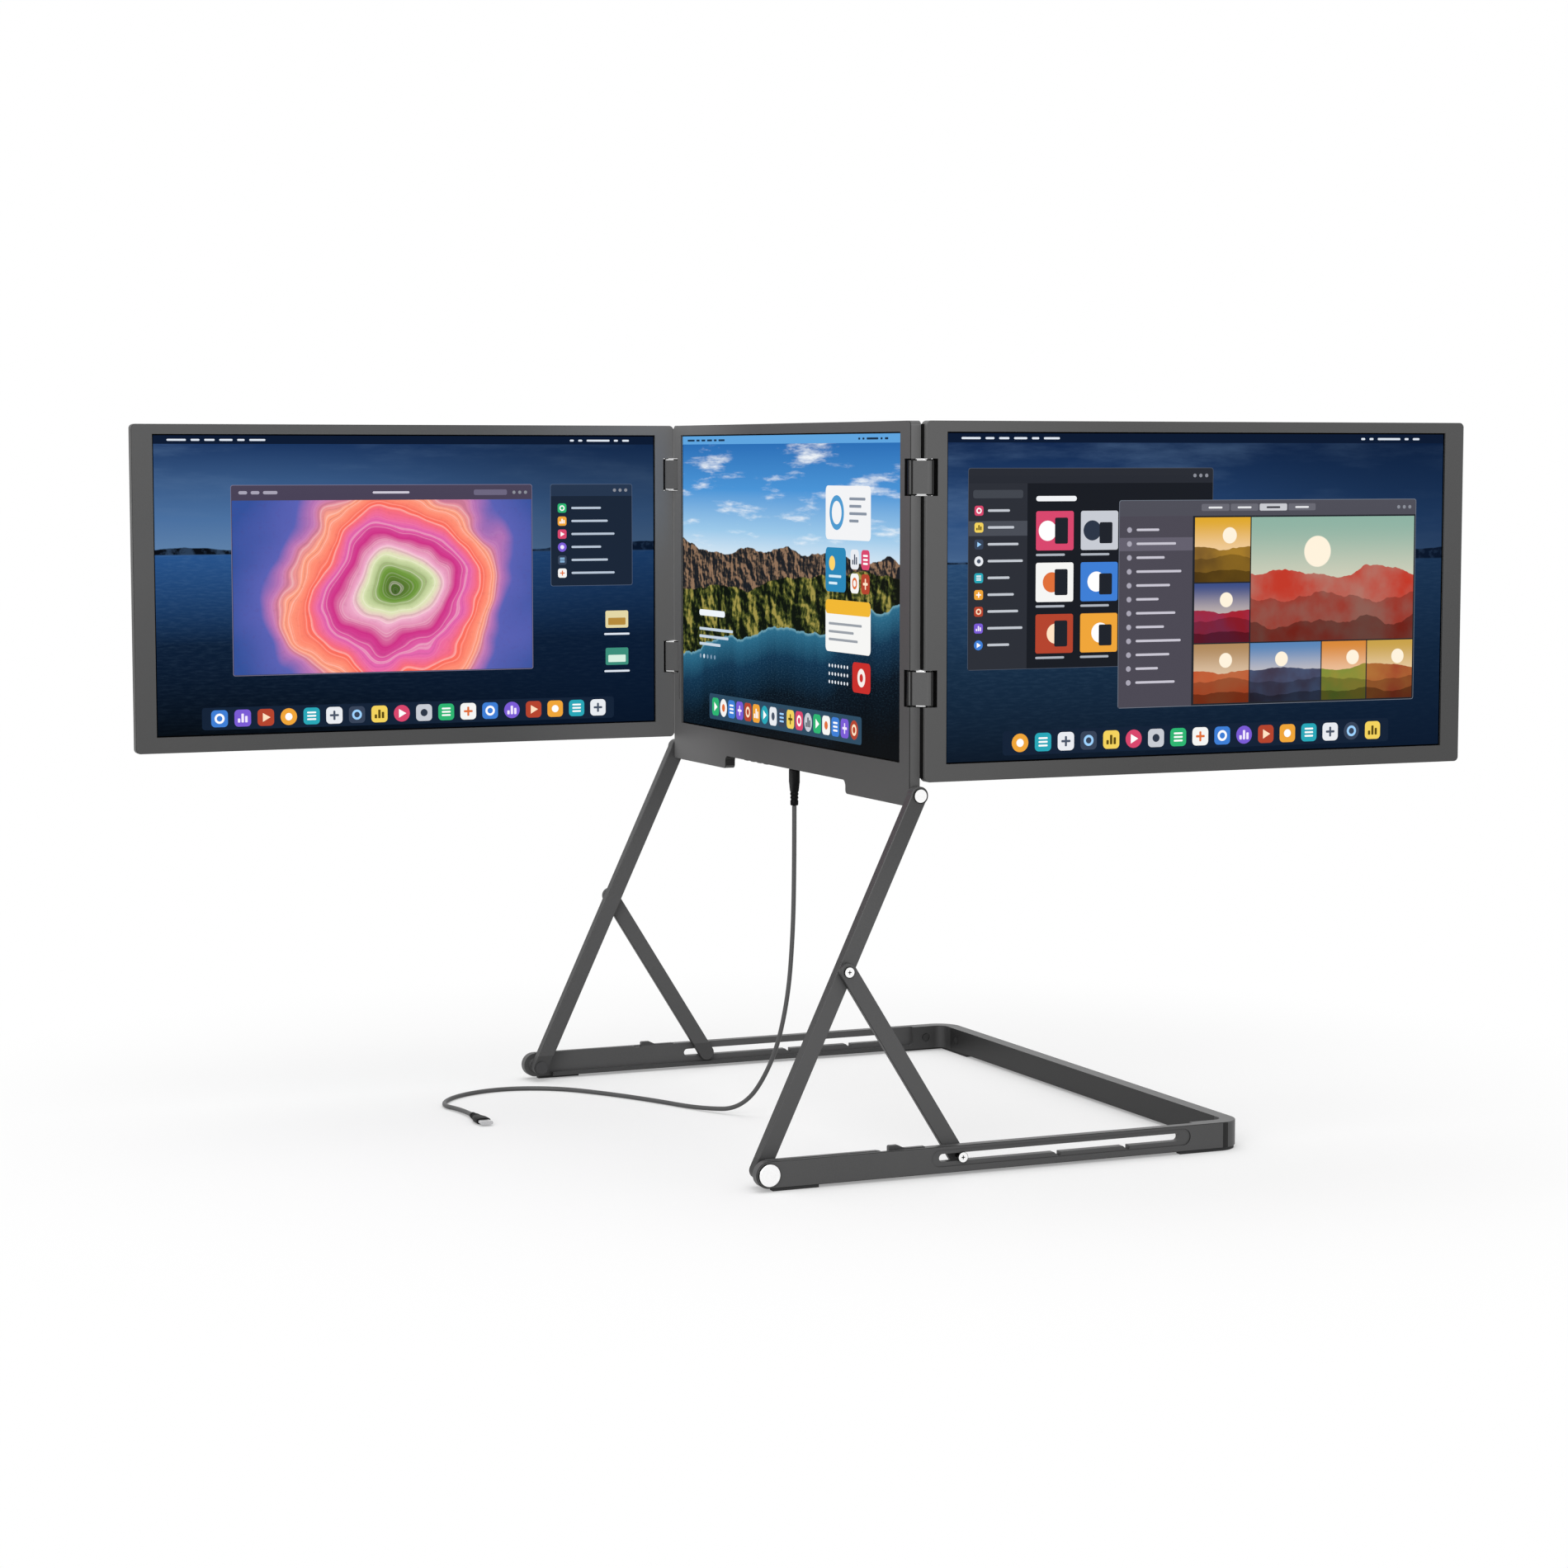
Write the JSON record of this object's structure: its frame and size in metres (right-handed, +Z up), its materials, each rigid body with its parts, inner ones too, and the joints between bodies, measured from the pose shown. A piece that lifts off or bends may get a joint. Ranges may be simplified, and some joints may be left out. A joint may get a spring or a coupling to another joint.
{
  "type": "laptop screen extender",
  "caption": "Folding stand that holds a centre screen above a laptop, with a wing screen hinged on each side, and a short cable for picture and power.",
  "frame": {"origin": "on the table, below the middle of the centre screen's thickness and width", "axes": "+Z up; +X to the user's right along the centre screen's width; +Y away from the user, so the centre screen faces -Y"},
  "size_m": [0.4262, 0.7754, 0.4585],
  "materials": {
    "frame_metal": "satin dark grey anodised",
    "housing": "fine matte dark grey",
    "rear_cover": "satin dark grey anodised",
    "screen": "glossy display glass over a lit picture",
    "polished": "polished",
    "knuckle": "gloss black",
    "pin_steel": "ground",
    "bright_cap": "bright satin",
    "dark_screw": "black oxide",
    "rubber_pad": "matte black",
    "clip": "matte black",
    "plug": "matte black",
    "cable": "matte black"
  },
  "bodies": {
    "base": {"base_rail_left": "frame_metal", "base_rail_right": "frame_metal", "base_rear_bar": "frame_metal", "front_pad_left": "rubber_pad", "front_pad_right": "rubber_pad", "pivot_cap_left": "bright_cap", "pivot_cap_right": "bright_cap", "pivot_pin_left": "frame_metal", "pivot_pin_right": "frame_metal", "rail_clip_left": "clip", "rail_clip_right": "clip", "rear_corner_screw_left": "dark_screw", "rear_corner_screw_right": "dark_screw", "rear_pad_left": "rubber_pad", "rear_pad_right": "rubber_pad", "side_corner_screw_left": "dark_screw", "side_corner_screw_right": "dark_screw", "cable": "cable", "laptop_plug": "plug", "laptop_plug_shell": "pin_steel"},
    "legs": {"leg_left": "frame_metal", "leg_right": "frame_metal", "strut_screw_left": "bright_cap", "strut_screw_right": "bright_cap"},
    "struts": {"slider_screw_left": "bright_cap", "slider_screw_right": "bright_cap", "strut_left": "frame_metal", "strut_right": "frame_metal"},
    "center_screen": {"center_display": "screen", "center_hinge_pin_lower_left": "pin_steel", "center_hinge_pin_lower_right": "pin_steel", "center_hinge_pin_upper_left": "pin_steel", "center_hinge_pin_upper_right": "pin_steel", "center_housing": "housing", "center_rear_cover": "rear_cover", "tilt_pin_left": "bright_cap", "tilt_pin_right": "bright_cap", "panel_plug": "plug", "panel_plug_shell": "pin_steel"},
    "knuckles_left": {"knuckle_lower_left": "knuckle", "knuckle_plates_lower_left": "polished", "knuckle_plates_upper_left": "polished", "knuckle_upper_left": "knuckle"},
    "wing_left": {"wing_display_left": "screen", "wing_hinge_pin_lower_left": "pin_steel", "wing_hinge_pin_upper_left": "pin_steel", "wing_housing_left": "housing", "wing_rear_cover_left": "rear_cover"},
    "knuckles_right": {"knuckle_lower_right": "knuckle", "knuckle_plates_lower_right": "polished", "knuckle_plates_upper_right": "polished", "knuckle_upper_right": "knuckle"},
    "wing_right": {"wing_display_right": "screen", "wing_hinge_pin_lower_right": "pin_steel", "wing_hinge_pin_upper_right": "pin_steel", "wing_housing_right": "housing", "wing_rear_cover_right": "rear_cover"}
  },
  "joints": [
    {"name": "leg_fold", "type": "hinge", "parent": "base", "child": "legs", "pos_m": [0, -0.10461, 0.01], "axis": [1, 0, 0], "range_deg": [-39.4, 2]},
    {"name": "strut_swing", "type": "hinge", "parent": "legs", "child": "struts", "pos_m": [0, -0.04908, 0.12799], "axis": [1, 0, 0], "range_deg": [-4, 74]},
    {"name": "screen_tilt", "type": "hinge", "parent": "legs", "child": "center_screen", "pos_m": [0, 0, 0.2323], "axis": [1, 0, 0], "range_deg": [-25, 64]},
    {"name": "knuckle_left", "type": "hinge", "parent": "center_screen", "child": "knuckles_left", "pos_m": [-0.18835, 0, 0.35], "axis": [0, 0, 1], "range_deg": [-45, 45]},
    {"name": "wing_fold_left", "type": "hinge", "parent": "knuckles_left", "child": "wing_left", "pos_m": [-0.1957, -0.00735, 0.35], "axis": [0, 0, 1], "range_deg": [-45, 45]},
    {"name": "knuckle_right", "type": "hinge", "parent": "center_screen", "child": "knuckles_right", "pos_m": [0.18835, 0, 0.35], "axis": [0, 0, 1], "range_deg": [-45, 45]},
    {"name": "wing_fold_right", "type": "hinge", "parent": "knuckles_right", "child": "wing_right", "pos_m": [0.1957, 0.00735, 0.35], "axis": [0, 0, 1], "range_deg": [-45, 45]}
  ],
  "couplings": [
    {"joint": "strut_swing", "follows": "leg_fold", "ratio": -1.8705},
    {"joint": "wing_fold_left", "follows": "knuckle_left", "ratio": 1},
    {"joint": "wing_fold_right", "follows": "knuckle_right", "ratio": 1}
  ]
}
